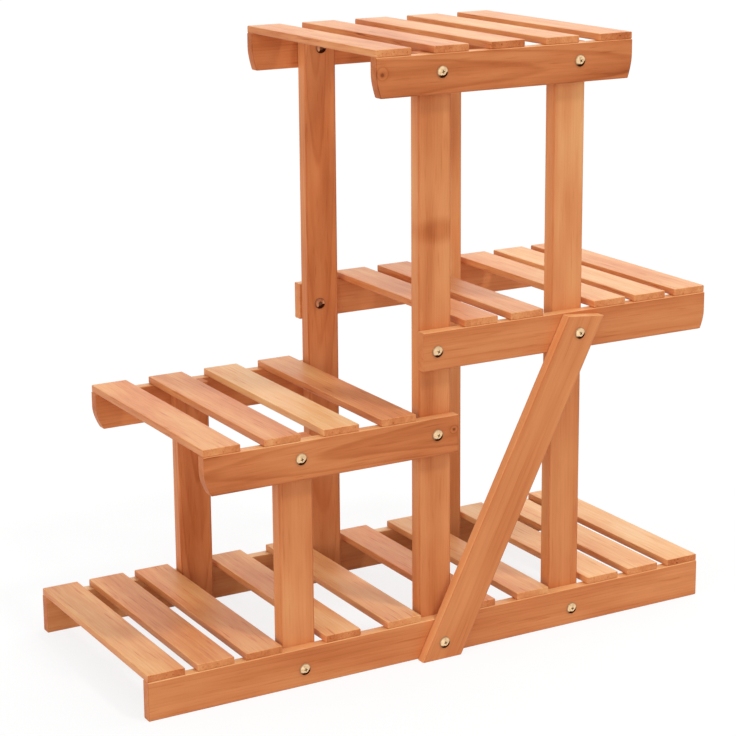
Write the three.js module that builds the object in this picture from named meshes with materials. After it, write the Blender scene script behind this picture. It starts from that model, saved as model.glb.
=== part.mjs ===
// Tiered plant stand: four slatted shelves at stepped heights on three pairs of flat posts.
//
// Millimetres, +Z up. X runs along the stand, from its low end to its high end, and Y from front to
// back. The origin is on the floor, in the middle of the stand's length and depth.
//
// Every board is a piece of its own. Posts stand in pairs, front and back. Each shelf has a front
// and a back rail, bolted to the outer faces of the posts, and slats laid across the two rails. One
// slanting brace is bolted over the front rails of the base and of the right shelf.

import * as THREE from 'three';

// ---- Board sections ----------------------------------------------------------------------------

const FRAME_DEPTH = 276; // over the outer faces of the front and back rails
const RAIL_HEIGHT = 40;
const RAIL_THICKNESS = 12;
const SLAT_WIDTH = 40;
const SLAT_THICKNESS = 7.5;
const SLAT_SETBACK = 1; // slat ends, in from the rails' outer faces
const POST_WIDTH = 38;
const POST_THICKNESS = 16;
const BRACE_WIDTH = 41.5;
const BRACE_THICKNESS = 12;

// ---- Posts along the base ----------------------------------------------------------------------

const BASE_LENGTH = 664;
const END_STRETCH_EXTRA_LENGTH = 29; // the base's two end stretches, over the two between posts
const MIDDLE_POST_OFFSET = -1; // from the middle of the base

// ---- Shelves -----------------------------------------------------------------------------------

const LEFT_SHELF_HEIGHT = 263.5; // floor to the top of its slats
const RIGHT_SHELF_EXTRA_HEIGHT = 90; // over the left shelf
const TOP_SHELF_HEIGHT = 632; // floor to the top of its slats
const LEFT_SHELF_REACH = 86; // its rails' left ends, beyond the first post
const TOP_SHELF_REACH_LEFT = 54; // its rails' left ends, beyond the middle post
const TOP_SHELF_REACH_RIGHT = 50; // its rails' right ends, beyond the last post
const RAIL_LAP = 1.5; // rails that end at the middle post run on past its far edge

// Rounded cuts under the shelves' free ends: how far they run along the rail, and up its end
const LEFT_END_CUT = { run: 8, rise: 24 };
const RIGHT_END_CUT = { run: 5, rise: 20 };
const TOP_END_CUT = { run: 5, rise: 25 };
const END_CUT_FULLNESS = 0.6; // share of the rise at which the cut's two tangents meet

// Slats, spread evenly over each stretch
const BASE_END_SLATS = 3;
const BASE_MIDDLE_SLATS = 2;
const LEFT_SHELF_SLATS = 4;
const RIGHT_SHELF_MIDDLE_SLATS = 2;
const RIGHT_SHELF_END_SLATS = 3;
const TOP_SHELF_SLATS = 5;

// Spaces between a post and the slat on its left, and on its right
const BASE_GAPS_AT_FIRST_POST = { left: 4.5, right: 7 };
const BASE_GAPS_AT_MIDDLE_POST = { left: 4.5, right: 8.5 };
const BASE_GAPS_AT_LAST_POST = { left: 7, right: 6 };
const LEFT_SHELF_GAP_AT_MIDDLE_POST = 10;
const RIGHT_SHELF_GAP_AT_MIDDLE_POST = 9.5;
const RIGHT_SHELF_MIDDLE_SLAT_GAP = 16; // between the two slats that lie between its posts
const RIGHT_SHELF_GAP_AT_LAST_POST = 8.5;

// ---- Bolts, each with a sleeve nut on the post's inner face ------------------------------------

const BOLT_HEAD_DIAMETER = 12;
const BOLT_HEAD_HEIGHT = 3;
const BOLT_SHANK_DIAMETER = 6;
const DRIVE_RECESS_DIAMETER = 4;
const DRIVE_RECESS_DEPTH = 1.8;
const NUT_FLANGE_DIAMETER = 12;
const NUT_FLANGE_HEIGHT = 2;
const NUT_FLANGE_EDGE = 0.8; // bevel round the flange
const NUT_SLEEVE_DIAMETER = 8.6;
const BOLT_CLEARANCE = 0.3; // all round a shank or sleeve in its hole, and at the sleeve's end

// Bolt heights above the lower edges of their rails
const BASE_BOLT_HEIGHT = 18;
const LEFT_BOLT_HEIGHT = 22;
const RIGHT_BOLT_HEIGHT = 19.5;
const TOP_BOLT_HEIGHT = 22;

// Sideways offsets of the hand-drilled bolts from the centre lines of their posts
const BASE_BOLT_OFFSETS = [0.5, -3.5, 3];
const LEFT_BOLT_OFFSETS = [0, -4.5];
const RIGHT_BOLT_OFFSETS = [-4.5, 0];
const TOP_BOLT_OFFSETS = [1, 3.5];

// ---- Brace -------------------------------------------------------------------------------------

const BRACE_OFFSET_AT_FOOT = 7; // its centre line, to the right of the base rail's bolt
const BRACE_TOP_DROP = 1.5; // its highest corner, below the right shelf's rail edge
const BRACE_TOP_FALL = 0.092; // slope of the cut across its upper end, falling to the right

// ---- Roundness ---------------------------------------------------------------------------------

const CURVE_STEPS = 6; // in a rail's end cut, and in half of a bolt hole
const BOLT_SIDES = 2 * CURVE_STEPS;
const DOME_STEPS = 3;

// ---- Places worked out from the sizes ----------------------------------------------------------

const RAIL_OUTER = FRAME_DEPTH / 2; // distances from the middle plane, alike at front and back
const RAIL_INNER = RAIL_OUTER - RAIL_THICKNESS;
const POST_INNER = RAIL_INNER - POST_THICKNESS;
const BRACE_OUTER = RAIL_OUTER + BRACE_THICKNESS;

const SIDES = [
  { name: 'front', outward: -1 },
  { name: 'back', outward: 1 },
];

const SHANK_HOLE_RADIUS = BOLT_SHANK_DIAMETER / 2 + BOLT_CLEARANCE;
const SLEEVE_HOLE_RADIUS = NUT_SLEEVE_DIAMETER / 2 + BOLT_CLEARANCE;

// Three posts part the base into four stretches, the inner two alike
const INNER_STRETCH = (BASE_LENGTH - 3 * POST_WIDTH - 2 * END_STRETCH_EXTRA_LENGTH) / 4;
const [FIRST_POST, MIDDLE_POST, LAST_POST] = [-1, 0, 1].map((step) => {
  const x = MIDDLE_POST_OFFSET + step * (INNER_STRETCH + POST_WIDTH);
  return { x, left: x - POST_WIDTH / 2, right: x + POST_WIDTH / 2 };
});

// Left edges of slats laid from one place on, a step apart
function slatsFrom(start, step, count) {
  return Array.from({ length: count }, (_, i) => start + i * step);
}

// Left edges of slats spread evenly over a stretch of a shelf
function slatsOver(from, to, count) {
  return slatsFrom(from, (to - from - SLAT_WIDTH) / (count - 1), count);
}

// The bolts of one shelf, one to each post that it is bolted to
function boltsAt(posts, offsets, z) {
  return posts.map((post, i) => ({ post, x: post.x + offsets[i], z }));
}

function baseShelf() {
  const left = -BASE_LENGTH / 2;
  const right = BASE_LENGTH / 2;
  const atFirst = BASE_GAPS_AT_FIRST_POST;
  const atMiddle = BASE_GAPS_AT_MIDDLE_POST;
  const atLast = BASE_GAPS_AT_LAST_POST;
  return {
    name: 'base',
    left,
    right,
    railBottom: 0,
    slats: [
      ...slatsOver(left, FIRST_POST.left - atFirst.left, BASE_END_SLATS),
      ...slatsOver(FIRST_POST.right + atFirst.right, MIDDLE_POST.left - atMiddle.left, BASE_MIDDLE_SLATS),
      ...slatsOver(MIDDLE_POST.right + atMiddle.right, LAST_POST.left - atLast.left, BASE_MIDDLE_SLATS),
      ...slatsOver(LAST_POST.right + atLast.right, right, BASE_END_SLATS),
    ],
    bolts: boltsAt([FIRST_POST, MIDDLE_POST, LAST_POST], BASE_BOLT_OFFSETS, BASE_BOLT_HEIGHT),
  };
}

function leftShelf() {
  const left = FIRST_POST.left - LEFT_SHELF_REACH;
  const railBottom = LEFT_SHELF_HEIGHT - SLAT_THICKNESS - RAIL_HEIGHT;
  return {
    name: 'left',
    left,
    right: MIDDLE_POST.right + RAIL_LAP,
    railBottom,
    leftCut: LEFT_END_CUT,
    slats: slatsOver(left, MIDDLE_POST.left - LEFT_SHELF_GAP_AT_MIDDLE_POST, LEFT_SHELF_SLATS),
    bolts: boltsAt([FIRST_POST, MIDDLE_POST], LEFT_BOLT_OFFSETS, railBottom + LEFT_BOLT_HEIGHT),
  };
}

function rightShelf() {
  const right = BASE_LENGTH / 2;
  const railBottom = LEFT_SHELF_HEIGHT + RIGHT_SHELF_EXTRA_HEIGHT - SLAT_THICKNESS - RAIL_HEIGHT;
  const afterMiddle = MIDDLE_POST.right + RIGHT_SHELF_GAP_AT_MIDDLE_POST;
  const afterLast = LAST_POST.right + RIGHT_SHELF_GAP_AT_LAST_POST;
  return {
    name: 'right',
    left: MIDDLE_POST.left - RAIL_LAP,
    right,
    railBottom,
    rightCut: RIGHT_END_CUT,
    slats: [
      ...slatsFrom(afterMiddle, SLAT_WIDTH + RIGHT_SHELF_MIDDLE_SLAT_GAP, RIGHT_SHELF_MIDDLE_SLATS),
      ...slatsOver(afterLast, right, RIGHT_SHELF_END_SLATS),
    ],
    bolts: boltsAt([MIDDLE_POST, LAST_POST], RIGHT_BOLT_OFFSETS, railBottom + RIGHT_BOLT_HEIGHT),
  };
}

function topShelf() {
  const left = MIDDLE_POST.left - TOP_SHELF_REACH_LEFT;
  const right = LAST_POST.right + TOP_SHELF_REACH_RIGHT;
  const railBottom = TOP_SHELF_HEIGHT - SLAT_THICKNESS - RAIL_HEIGHT;
  return {
    name: 'top',
    left,
    right,
    railBottom,
    leftCut: TOP_END_CUT,
    rightCut: TOP_END_CUT,
    slats: slatsOver(left, right, TOP_SHELF_SLATS),
    bolts: boltsAt([MIDDLE_POST, LAST_POST], TOP_BOLT_OFFSETS, railBottom + TOP_BOLT_HEIGHT),
  };
}

const BASE = baseShelf();
const LEFT = leftShelf();
const RIGHT = rightShelf();
const TOP = topShelf();
const SHELVES = [BASE, LEFT, RIGHT, TOP];

// The brace covers the base rail's bolt at the middle post and the right shelf's at the last post
const BRACE_FOOT_BOLT = BASE.bolts[1];
const BRACE_HEAD_BOLT = RIGHT.bolts[1];

// ---- Finishes ----------------------------------------------------------------------------------

function stainedWood(colour) {
  return new THREE.MeshStandardMaterial({ color: colour, roughness: 0.6, metalness: 0 });
}

function paleBrass() {
  return new THREE.MeshStandardMaterial({ color: '#d8b888', roughness: 0.35, metalness: 1 });
}

const RAIL_COLOUR = '#c8794b';
const POST_COLOUR = '#cf8455';
const SLAT_COLOUR = '#dc9a6a';
const BRACE_COLOUR = '#cc7e4f';

// ---- Boards ------------------------------------------------------------------------------------

const stand = new THREE.Group();
stand.position.y = BRACE_THICKNESS / 2; // the brace is at the front only: this centres the whole stand

// A flat board from its outline in the XZ plane, filling the depths from near to far on one side
function addBoard(name, outline, side, near, far, colour) {
  const extrusion = { depth: far - near, bevelEnabled: false, curveSegments: CURVE_STEPS };
  const board = new THREE.Mesh(new THREE.ExtrudeGeometry(outline, extrusion), stainedWood(colour));
  board.name = name;
  board.rotation.x = Math.PI / 2;
  board.position.y = side.outward > 0 ? far : -near;
  stand.add(board);
}

function drill(outline, bolts, radius) {
  for (const bolt of bolts) {
    const hole = new THREE.Path();
    hole.absarc(bolt.x, bolt.z, radius, 0, Math.PI * 2, true);
    outline.holes.push(hole);
  }
}

// Anticlockwise from the lower left, with the lower corner of a free end cut away in a soft curve
function railOutline(shelf) {
  const top = shelf.railBottom + RAIL_HEIGHT;
  const leftCut = shelf.leftCut ?? { run: 0, rise: 0 };
  const rightCut = shelf.rightCut ?? { run: 0, rise: 0 };
  const outline = new THREE.Shape();
  outline.moveTo(shelf.left + leftCut.run, shelf.railBottom);
  outline.lineTo(shelf.right - rightCut.run, shelf.railBottom);
  if (shelf.rightCut) {
    const bend = shelf.railBottom + END_CUT_FULLNESS * rightCut.rise;
    outline.quadraticCurveTo(shelf.right, bend, shelf.right, shelf.railBottom + rightCut.rise);
  }
  outline.lineTo(shelf.right, top);
  outline.lineTo(shelf.left, top);
  if (shelf.leftCut) {
    const bend = shelf.railBottom + END_CUT_FULLNESS * leftCut.rise;
    outline.lineTo(shelf.left, shelf.railBottom + leftCut.rise);
    outline.quadraticCurveTo(shelf.left, bend, shelf.left + leftCut.run, shelf.railBottom);
  }
  drill(outline, shelf.bolts, SHANK_HOLE_RADIUS);
  return outline;
}

function addRails(shelf) {
  for (const side of SIDES) {
    const name = `rail_${shelf.name}_${side.name}`;
    addBoard(name, railOutline(shelf), side, RAIL_INNER, RAIL_OUTER, RAIL_COLOUR);
  }
}

// Slats lie on the rails' upper edges
function addSlats(shelf) {
  const length = FRAME_DEPTH - 2 * SLAT_SETBACK;
  const z = shelf.railBottom + RAIL_HEIGHT + SLAT_THICKNESS / 2;
  shelf.slats.forEach((edge, i) => {
    const box = new THREE.BoxGeometry(SLAT_WIDTH, length, SLAT_THICKNESS);
    const slat = new THREE.Mesh(box, stainedWood(SLAT_COLOUR));
    slat.name = `slat_${shelf.name}_${i + 1}`;
    slat.position.set(edge + SLAT_WIDTH / 2, 0, z);
    stand.add(slat);
  });
}

// Posts stand on the floor inside the rails and end under the slats of the highest shelf they carry
function addPostPair(number, post) {
  const shelves = SHELVES.filter((shelf) => shelf.bolts.some((bolt) => bolt.post === post));
  const height = Math.max(...shelves.map((shelf) => shelf.railBottom)) + RAIL_HEIGHT;
  const bolts = shelves.flatMap((shelf) => shelf.bolts.filter((bolt) => bolt.post === post));
  for (const side of SIDES) {
    const outline = new THREE.Shape();
    outline.moveTo(post.left, 0);
    outline.lineTo(post.right, 0);
    outline.lineTo(post.right, height);
    outline.lineTo(post.left, height);
    drill(outline, bolts, SLEEVE_HOLE_RADIUS);
    addBoard(`post_${number}_${side.name}`, outline, side, POST_INNER, RAIL_INNER, POST_COLOUR);
  }
}

// The brace leans to the right. It is cut level at the floor and nearly level at its upper end.
function addBrace() {
  const footX = BRACE_FOOT_BOLT.x + BRACE_OFFSET_AT_FOOT;
  const lean = (BRACE_HEAD_BOLT.x - footX) / (BRACE_HEAD_BOLT.z - BRACE_FOOT_BOLT.z);
  const halfWidth = (BRACE_WIDTH / 2) * Math.hypot(1, lean); // measured level, not square to the edges
  const leftEdgeAt = (z) => footX + lean * (z - BRACE_FOOT_BOLT.z) - halfWidth;
  const topZ = RIGHT.railBottom + RAIL_HEIGHT - BRACE_TOP_DROP;
  const fall = (2 * halfWidth * BRACE_TOP_FALL) / (1 + lean * BRACE_TOP_FALL);
  const outline = new THREE.Shape();
  outline.moveTo(leftEdgeAt(0), 0);
  outline.lineTo(leftEdgeAt(0) + 2 * halfWidth, 0);
  outline.lineTo(leftEdgeAt(topZ - fall) + 2 * halfWidth, topZ - fall);
  outline.lineTo(leftEdgeAt(topZ), topZ);
  drill(outline, [BRACE_FOOT_BOLT, BRACE_HEAD_BOLT], SHANK_HOLE_RADIUS);
  addBoard('brace', outline, SIDES[0], RAIL_OUTER, BRACE_OUTER, BRACE_COLOUR);
}

// ---- Bolts -------------------------------------------------------------------------------------

// Profile of a tightened bolt and its sleeve nut, from the head's top to the nut's end. The head's
// underside is at 0, and the sleeve is in the post, behind boards of the given thickness.
function boltProfile(outerThickness) {
  const headRadius = BOLT_HEAD_DIAMETER / 2;
  const shankRadius = BOLT_SHANK_DIAMETER / 2;
  const recessRadius = DRIVE_RECESS_DIAMETER / 2;
  const sleeveRadius = NUT_SLEEVE_DIAMETER / 2;
  const flangeRadius = NUT_FLANGE_DIAMETER / 2;
  const sleeveStart = outerThickness + BOLT_CLEARANCE;
  const nutSeat = outerThickness + POST_THICKNESS;
  const nutEnd = nutSeat + NUT_FLANGE_HEIGHT;
  const recessFloor = DRIVE_RECESS_DEPTH - BOLT_HEAD_HEIGHT;
  const recessAngle = Math.asin(recessRadius / headRadius);
  const points = [[0, recessFloor], [recessRadius, recessFloor]];
  for (let i = 0; i <= DOME_STEPS; i += 1) {
    const angle = recessAngle + (i / DOME_STEPS) * (Math.PI / 2 - recessAngle);
    points.push([headRadius * Math.sin(angle), i < DOME_STEPS ? -BOLT_HEAD_HEIGHT * Math.cos(angle) : 0]);
  }
  points.push([shankRadius, 0], [shankRadius, sleeveStart], [sleeveRadius, sleeveStart]);
  points.push([sleeveRadius, nutSeat], [flangeRadius, nutSeat]);
  points.push([flangeRadius, nutEnd - NUT_FLANGE_EDGE], [flangeRadius - NUT_FLANGE_EDGE, nutEnd]);
  points.push([0, nutEnd]);
  return points.map(([radius, y]) => new THREE.Vector2(radius, y));
}

function addBolt(name, side, bolt, outerFace) {
  const profile = boltProfile(outerFace - RAIL_INNER);
  const geometry = new THREE.LatheGeometry(profile, BOLT_SIDES);
  const mesh = new THREE.Mesh(geometry, paleBrass());
  mesh.name = name;
  mesh.rotation.z = side.outward > 0 ? Math.PI : 0;
  mesh.position.set(bolt.x, side.outward * outerFace, bolt.z);
  stand.add(mesh);
}

function addBolts(shelf) {
  shelf.bolts.forEach((bolt, i) => {
    for (const side of SIDES) {
      const throughBrace = side.name === 'front' && [BRACE_FOOT_BOLT, BRACE_HEAD_BOLT].includes(bolt);
      const outerFace = throughBrace ? BRACE_OUTER : RAIL_OUTER;
      addBolt(`bolt_${shelf.name}_${i + 1}_${side.name}`, side, bolt, outerFace);
    }
  });
}

// ---- The stand ---------------------------------------------------------------------------------

for (const shelf of SHELVES) {
  addRails(shelf);
  addSlats(shelf);
  addBolts(shelf);
}
[FIRST_POST, MIDDLE_POST, LAST_POST].forEach((post, i) => addPostPair(i + 1, post));
addBrace();

export default stand;
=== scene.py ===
# %% [markdown]
# # A tiered wooden plant stand
#
# The stand has a long slatted base and three slatted shelves above it, each at its own height.
# Flat posts stand in pairs, front and back. Rails are bolted to the posts' outer faces, slats lie
# across the rails, and one slanting brace stiffens the front.
#
# The CAD model gives the frame, in metres: X runs along the stand from its low end to its high
# end, Y from front to back, and Z up. This script dresses that frame. The camera comes first,
# and then the floor and the light. After that every board is made again with eased edges,
# drilled holes and real grain, and every bolt becomes a domed screw with a cross recess and a
# sleeve nut.

import math
import random

import bmesh
import bpy
from mathutils import Matrix, Vector


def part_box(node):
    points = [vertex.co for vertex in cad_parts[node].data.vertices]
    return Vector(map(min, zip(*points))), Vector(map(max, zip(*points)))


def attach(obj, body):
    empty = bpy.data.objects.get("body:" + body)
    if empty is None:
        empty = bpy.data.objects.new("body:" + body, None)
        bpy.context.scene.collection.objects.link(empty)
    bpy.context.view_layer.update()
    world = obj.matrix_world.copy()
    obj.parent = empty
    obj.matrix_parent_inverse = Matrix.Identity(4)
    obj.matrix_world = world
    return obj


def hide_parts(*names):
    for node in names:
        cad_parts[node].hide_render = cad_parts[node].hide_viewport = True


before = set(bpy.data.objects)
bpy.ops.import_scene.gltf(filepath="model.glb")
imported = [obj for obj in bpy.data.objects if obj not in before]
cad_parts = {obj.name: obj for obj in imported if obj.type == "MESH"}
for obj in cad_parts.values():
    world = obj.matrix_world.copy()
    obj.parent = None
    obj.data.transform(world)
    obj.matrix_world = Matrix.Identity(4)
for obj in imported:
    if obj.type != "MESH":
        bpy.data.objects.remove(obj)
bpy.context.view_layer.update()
print("CAD nodes:", len(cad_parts))

# %% [markdown]
# ## The camera
#
# A photograph of a box-like thing gives the camera away: the vanishing points of its edges tell
# where it stood and how long its lens was. Here the stand's long side is turned thirty degrees
# away from the picture, so the camera stood in front of the low end, a little above the top
# shelf. The photograph was straightened afterwards, until its posts were quite upright. This
# camera looks down a little instead, and its long lens keeps the posts nearly parallel. It is
# turned in three steps: down from the horizon, round to its heading, and a hair about its axis.

# %% Stand the camera in its place
PICTURE_SIZE = 736  # pixels, in width and in height
SENSOR_WIDTH = 36.0  # mm
CAMERA_PLACE = (-1.0924, -1.9010, 0.8660)
CAMERA_HEADING = math.radians(29.6508)  # from +Y towards +X
CAMERA_TILT = math.radians(13.4474)  # below the horizon
CAMERA_ROLL = math.radians(-0.4595)
CAMERA_LENS = 104.47  # mm
CAMERA_SHIFT = -0.08  # share of the picture, downwards

camera_data = bpy.data.cameras.new("camera")
camera_data.sensor_width = SENSOR_WIDTH
camera_data.lens = CAMERA_LENS
camera_data.shift_y = CAMERA_SHIFT
camera = bpy.data.objects.new("camera", camera_data)
bpy.context.scene.collection.objects.link(camera)
turn = Matrix.Rotation(-CAMERA_HEADING, 4, "Z") @ Matrix.Rotation(math.pi / 2 - CAMERA_TILT, 4, "X")
camera.matrix_world = Matrix.Translation(CAMERA_PLACE) @ turn @ Matrix.Rotation(CAMERA_ROLL, 4, "Z")
bpy.context.scene.camera = camera


# %% Show where three corners of the stand fall in the picture
def place_in_picture(point):
    """The column and row, in pixels, at which the camera sees a point."""
    seen = camera.matrix_world.inverted() @ Vector(point)
    pixels_per_slope = CAMERA_LENS / SENSOR_WIDTH * PICTURE_SIZE
    column = PICTURE_SIZE / 2 + pixels_per_slope * seen.x / -seen.z
    row = PICTURE_SIZE / 2 - pixels_per_slope * seen.y / -seen.z + CAMERA_SHIFT * PICTURE_SIZE
    return round(column, 1), round(row, 1)


base_low, base_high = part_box("rail_base_front")
top_low, top_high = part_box("rail_top_front")
print("front left foot:", place_in_picture(base_low))
print("front right foot:", place_in_picture((base_high.x, base_low.y, base_low.z)))
print("front right corner of the top rail:", place_in_picture((top_high.x, top_low.y, top_high.z)))

# %% [markdown]
# ## Floor and light
#
# The stand was photographed on pure white. A white picture doesn't need more light, only a
# floor and a sky that answer the camera with white. The floor is a pale matt surface that
# throws light up under the shelves. The camera and reflections see it darker, with a glow that
# makes up for that, so the stand's shadow still falls on it, but faintly. The sky is white to
# the camera and to reflections, and dimmer as a light.


# %% A helper that adds nodes
def add_node(tree, kind, inputs=None, **settings):
    """Adds a node, sets its properties, and sets or links its inputs. Returns the node."""
    node = tree.nodes.new(kind)
    for name, value in settings.items():
        setattr(node, name, value)
    for name, value in (inputs or {}).items():
        if isinstance(value, bpy.types.NodeSocket):
            tree.links.new(value, node.inputs[name])
        else:
            node.inputs[name].default_value = value
    return node


def compute(tree, operation, first, second=0.0, third=0.0):
    """Adds a Math node and returns its result."""
    node = add_node(tree, "ShaderNodeMath", {0: first, 1: second, 2: third}, operation=operation)
    return node.outputs[0]


# %% Lay the floor
FLOOR_SIZE = 60.0
FLOOR_PALE = 0.70  # how much light it throws back
FLOOR_SEEN = 0.17  # and how much of it the camera sees
FLOOR_GLOW = 0.83


def seen_or_mirrored(tree):
    """1 for rays from the camera, and for those mirrored or let through by a surface."""
    path = add_node(tree, "ShaderNodeLightPath")
    either = compute(tree, "MAXIMUM", path.outputs["Is Camera Ray"], path.outputs["Is Glossy Ray"])
    return compute(tree, "MAXIMUM", either, path.outputs["Is Transmission Ray"])


floor_finish = bpy.data.materials.new("pale_floor")
floor_finish.use_nodes = True
tree = floor_finish.node_tree
tree.nodes.clear()
seen = seen_or_mirrored(tree)
paleness = compute(tree, "MULTIPLY_ADD", seen, FLOOR_SEEN - FLOOR_PALE, FLOOR_PALE)
matt = add_node(tree, "ShaderNodeBsdfDiffuse", {"Color": paleness})
glow_level = compute(tree, "MULTIPLY", seen, FLOOR_GLOW)
glow = add_node(tree, "ShaderNodeEmission", {"Strength": glow_level})
both = add_node(tree, "ShaderNodeAddShader", {0: matt.outputs[0], 1: glow.outputs[0]})
add_node(tree, "ShaderNodeOutputMaterial", {"Surface": both.outputs[0]})

floor_shape = bmesh.new()
bmesh.ops.create_grid(floor_shape, x_segments=1, y_segments=1, size=FLOOR_SIZE / 2)
floor_mesh = bpy.data.meshes.new("floor")
floor_shape.to_mesh(floor_mesh)
floor_shape.free()
floor_mesh.materials.append(floor_finish)
floor = bpy.data.objects.new("floor", floor_mesh)
bpy.context.scene.collection.objects.link(floor)
print("floor:", FLOOR_SIZE, "m square, throws back", FLOOR_PALE)

# %% Light the sky
SKY_LIGHT = 0.38  # what the sky gives to matt surfaces

world = bpy.data.worlds.new("white_sky")
world.use_nodes = True
bpy.context.scene.world = world
tree = world.node_tree
tree.nodes.clear()
level = add_node(
    tree,
    "ShaderNodeMapRange",
    {"Value": seen_or_mirrored(tree), "To Min": SKY_LIGHT, "To Max": 1.0},
)
sky = add_node(tree, "ShaderNodeBackground", {"Strength": level.outputs[0]})
add_node(tree, "ShaderNodeOutputWorld", {"Surface": sky.outputs[0]})
print("sky light:", SKY_LIGHT)

# %% [markdown]
# Soft lamps model the shapes. They are suns, so that the whole floor is lit alike, with wide
# discs, so that their shadows are soft. The one overhead brightens every upper face and edge
# and leaves the lower edges dark. The front lamp reaches in under the shelves, and the left and
# right lamps keep the sides of the posts nearly as bright as their fronts. The lamp behind the
# stand shines towards the camera and mirrors itself in the varnish of the shelves. A smaller and
# harder key lamp, high in front, draws the short shadows under the bolt heads.


# %% Hang the lamps
def hang_lamp(name, direction, disc, level):
    """A sun in a direction from the stand. At level 1 it renders a facing colour as written."""
    lamp_data = bpy.data.lights.new(name, "SUN")
    lamp_data.angle = math.radians(disc)
    lamp_data.energy = level * math.pi
    lamp = bpy.data.objects.new(name, lamp_data)
    lamp.rotation_euler = Vector(direction).to_track_quat("Z", "Y").to_euler()
    bpy.context.scene.collection.objects.link(lamp)
    print(name, "level", level)


# The direction, the width of the disc in degrees, and the level
hang_lamp("overhead_lamp", (0.0, 0.0, 1.0), 60, 0.21)
hang_lamp("front_lamp", (-0.48, -0.80, 0.30), 40, 0.23)
hang_lamp("left_lamp", (-0.94, -0.22, 0.26), 40, 0.30)
hang_lamp("right_lamp", (0.85, 0.10, 0.50), 50, 0.28)
hang_lamp("key_lamp", (0.28, -0.48, 0.83), 9, 0.28)
hang_lamp("back_lamp", (0.52, 0.67, 0.53), 44, 0.16)

# %% [markdown]
# ## Wood that goes all the way through
#
# The boards are cheap softwood with an orange-brown stain and a satin varnish. The quickest way
# to grain is to stretch a noise along each face, but then a board's faces don't agree where
# they meet. Here the wood is solid instead. Every board carries its own coordinates as an
# attribute called grain: x runs along the trunk, and y and z are the distances from its heart.
# Rings are then rings round the heart. A face that cuts them on the flat shows long arches,
# one that cuts them square shows fine lines, and an end shows arcs, all from one recipe.
#
# More attributes help. ring_width and figure, the strength of the rings, are one number per
# board. tone says how deep the stain is, and differs on narrow edges and on sawn ends; on narrow
# edges, on the slats and on some whole boards it also holds painted light and shade. knot
# measures from a board's knot and tells how dark it is. eased marks the rounded edges: above 0
# on those facing up, which get a painted highlight, and below 0 on the others, which get painted
# shade. end_grain marks the sawn ends.

# %% Grow the rings
WANDER_SLOW = 0.0042  # how far the rings stray from true circles, in metres
WANDER_QUICK = 0.0011
SLOW_FINENESS = (3.5, 22)  # how fine the straying is along and across the grain, per metre
QUICK_FINENESS = (14, 95)
KNOT_PUSH = 1.6  # how many rings a knot pushes aside
KNOT_REACH = 2.6  # in radii of the knot


def attribute(tree, name, output="Fac"):
    """Reads one of the boards' attributes."""
    return add_node(tree, "ShaderNodeAttribute", attribute_name=name).outputs[output]


def stretched_noise(tree, grain, along, across, detail=2.0, roughness=0.5):
    """Noise from 0 to 1 with features of 1/along metres along the board and 1/across over it."""
    scaled = add_node(
        tree,
        "ShaderNodeVectorMath",
        {0: grain, 1: (along, across, across)},
        operation="MULTIPLY",
    )
    noise = add_node(
        tree,
        "ShaderNodeTexNoise",
        {"Vector": scaled.outputs[0], "Scale": 1.0, "Detail": detail, "Roughness": roughness},
    )
    return noise.outputs["Fac"]


def centred(tree, value, amount):
    """Turns 0 to 1 into minus half to plus half of an amount."""
    return compute(tree, "MULTIPLY", compute(tree, "SUBTRACT", value, 0.5), amount)


def knot_of_board(tree):
    """Distance from the board's knot, an oval, in radii of the knot, and how dark the knot is."""
    knot = add_node(tree, "ShaderNodeSeparateXYZ", {0: attribute(tree, "knot", "Vector")})
    flat = add_node(
        tree, "ShaderNodeCombineXYZ", {"X": knot.outputs["X"], "Y": knot.outputs["Y"]}
    )
    length = add_node(tree, "ShaderNodeVectorMath", {0: flat.outputs[0]}, operation="LENGTH")
    return length.outputs["Value"], knot.outputs["Z"]


def ring_number(tree, grain, knot_distance):
    """How many rings lie between the heart and a point, with a fraction inside its ring."""
    parts = add_node(tree, "ShaderNodeSeparateXYZ", {0: grain})
    radial = add_node(
        tree, "ShaderNodeCombineXYZ", {"Y": parts.outputs["Y"], "Z": parts.outputs["Z"]}
    )
    radius = add_node(tree, "ShaderNodeVectorMath", {0: radial.outputs[0]}, operation="LENGTH")
    slow = centred(tree, stretched_noise(tree, grain, *SLOW_FINENESS), WANDER_SLOW)
    quick = centred(tree, stretched_noise(tree, grain, *QUICK_FINENESS), WANDER_QUICK)
    near = compute(tree, "DIVIDE", knot_distance, KNOT_REACH)
    fade = compute(tree, "MULTIPLY", compute(tree, "MULTIPLY", near, near), -1)
    bump = compute(tree, "POWER", math.e, fade)
    strayed = compute(tree, "ADD", compute(tree, "ADD", radius.outputs["Value"], slow), quick)
    rings = compute(tree, "DIVIDE", strayed, attribute(tree, "ring_width"))
    return compute(tree, "MULTIPLY_ADD", bump, KNOT_PUSH, rings)


# %% [markdown]
# A ring begins pale in spring and slowly darkens until autumn, and then jumps back to pale.
# Good and bad years make strong and weak rings, so each ring draws its own strength from its
# number. On top of the rings lie five noises: fine fibres, short flecks, longer streaks, broad
# bands, and soft blotches where the stain soaked in more. Thin dark marks lie over them all. The
# rounded edges that face up get a painted highlight, and the others painted shade, in patches.

# %% Turn rings, fibres and stain into one depth of colour
RING_CONTRAST = {"rail": 0.10, "post": 0.06, "slat": 0.10, "brace": 0.06}
SEASONS = ((0.12, 0.02), (0.6, 0.3), (0.86, 1.0))  # the share of a ring, and its shade there
WEAKEST_YEAR = 0.25
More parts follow.
